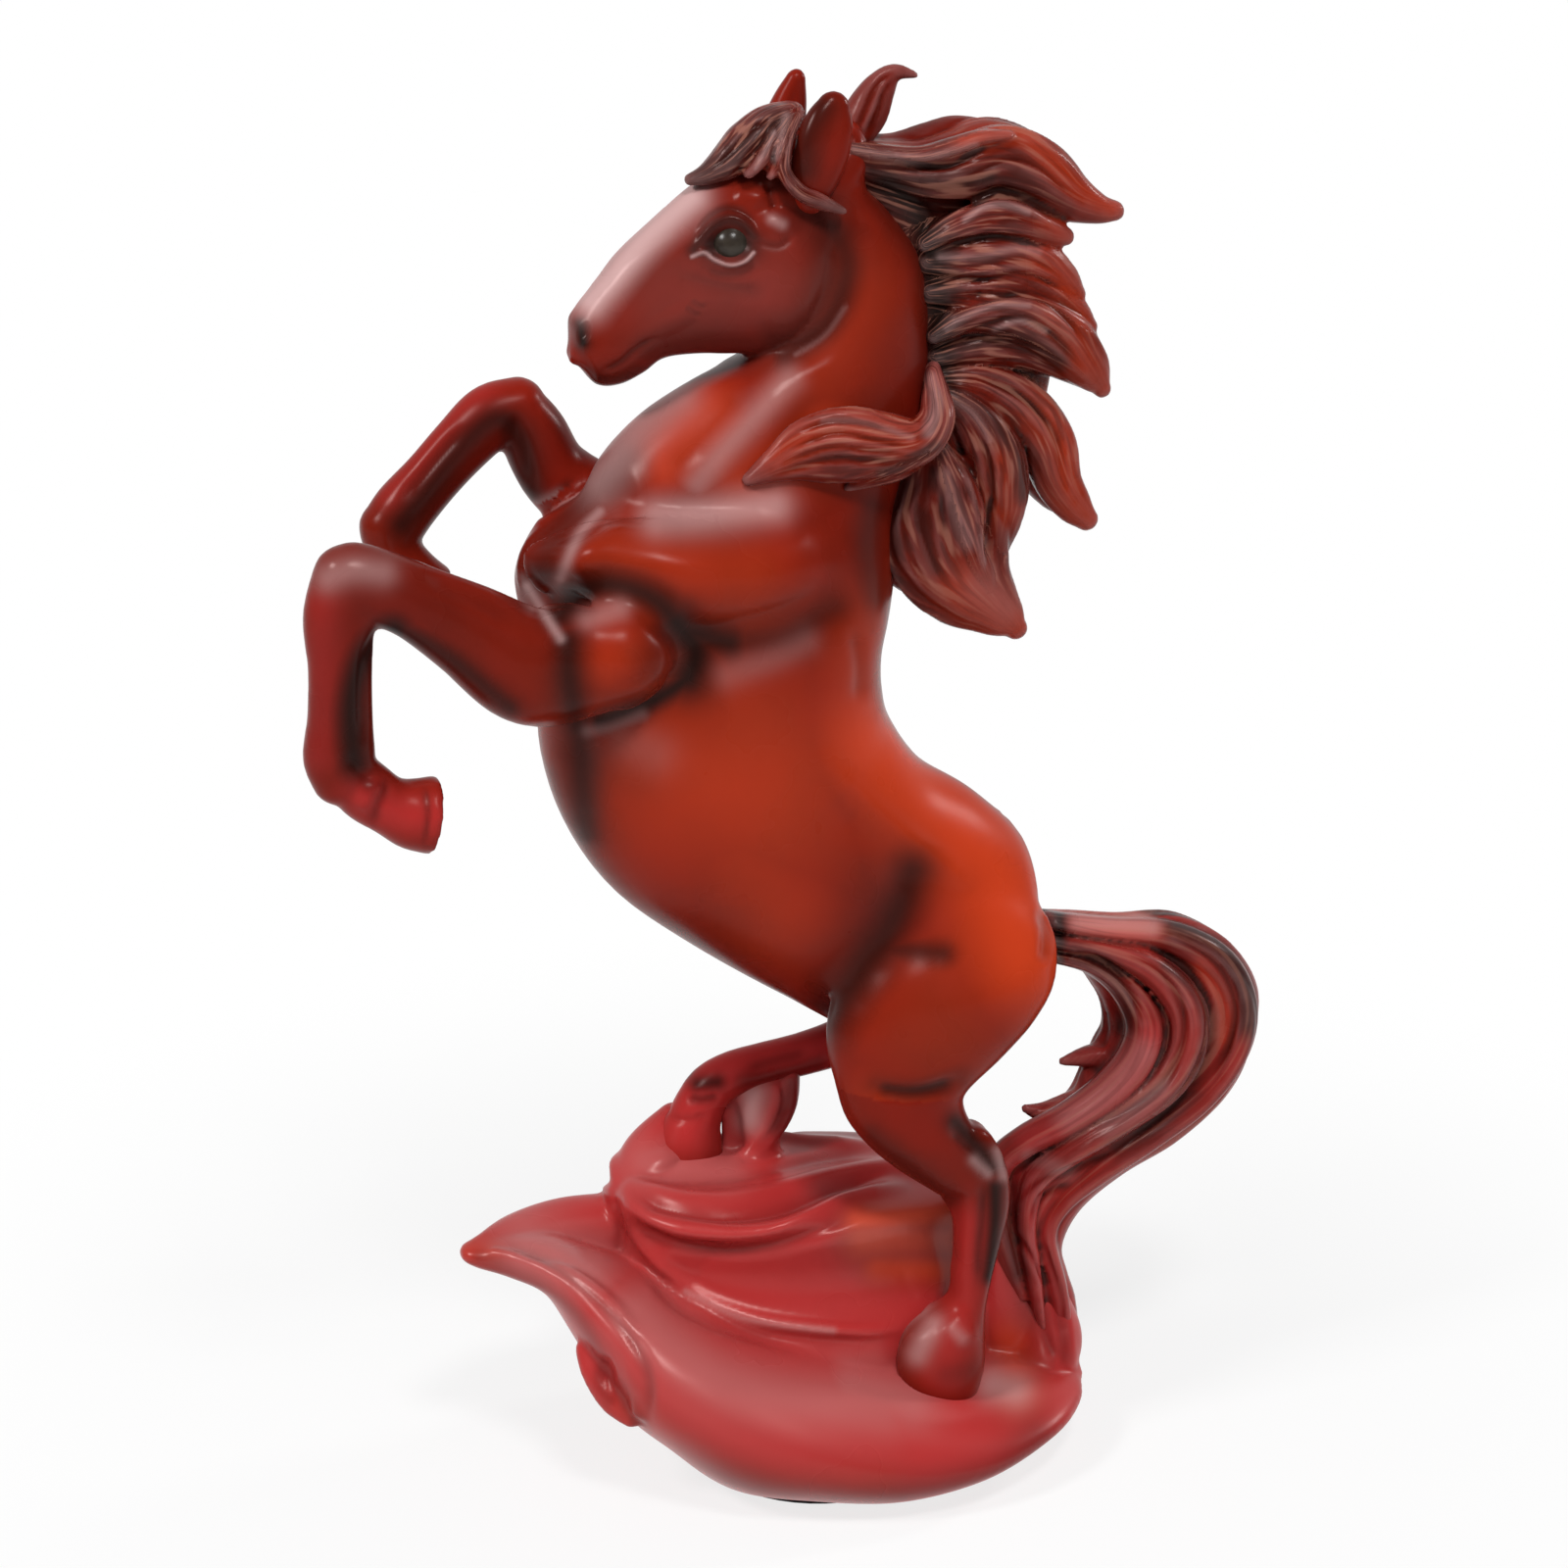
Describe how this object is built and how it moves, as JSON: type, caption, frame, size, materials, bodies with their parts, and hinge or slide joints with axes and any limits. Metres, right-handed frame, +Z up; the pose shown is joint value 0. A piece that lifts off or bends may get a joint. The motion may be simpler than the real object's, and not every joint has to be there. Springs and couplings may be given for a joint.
{
  "type": "rearing horse statuette",
  "caption": "Lacquered resin statuette of a rearing horse with a flying mane, cast in parts and glued on pins, on a wave-shaped plinth with a weighted, felted underside.",
  "frame": {"origin": "on the lower face of the felt, in the horse's middle plane", "axes": "+Z up, -X the way the horse faces, -Y its left side, which the picture shows"},
  "size_m": [0.2152, 0.082, 0.3008],
  "materials": {
    "lacquered_resin": "mahogany red with a black wash in the hollows, under a semi-gloss lacquer",
    "steel_pin": "drawn wire",
    "cement_plug": "cast, matt",
    "board": "grey board, matt",
    "felt": "pressed felt"
  },
  "bodies": {
    "root": {"base_casting": "lacquered_resin", "trunk_casting": "lacquered_resin", "neck_head_casting": "lacquered_resin", "mane_casting": "lacquered_resin", "left_foreleg": "lacquered_resin", "right_foreleg": "lacquered_resin", "left_hind_leg": "lacquered_resin", "right_hind_leg": "lacquered_resin", "tail_casting": "lacquered_resin", "neck_dowel": "steel_pin", "left_foreleg_pin": "steel_pin", "right_foreleg_pin": "steel_pin", "left_stifle_pin": "steel_pin", "right_stifle_pin": "steel_pin", "left_hind_rod": "steel_pin", "right_hind_rod": "steel_pin", "tail_root_pin": "steel_pin", "tail_foot_pin": "steel_pin", "mane_pins": "steel_pin", "base_ballast": "cement_plug", "base_cover": "board", "base_felt": "felt"}
  },
  "joints": []
}
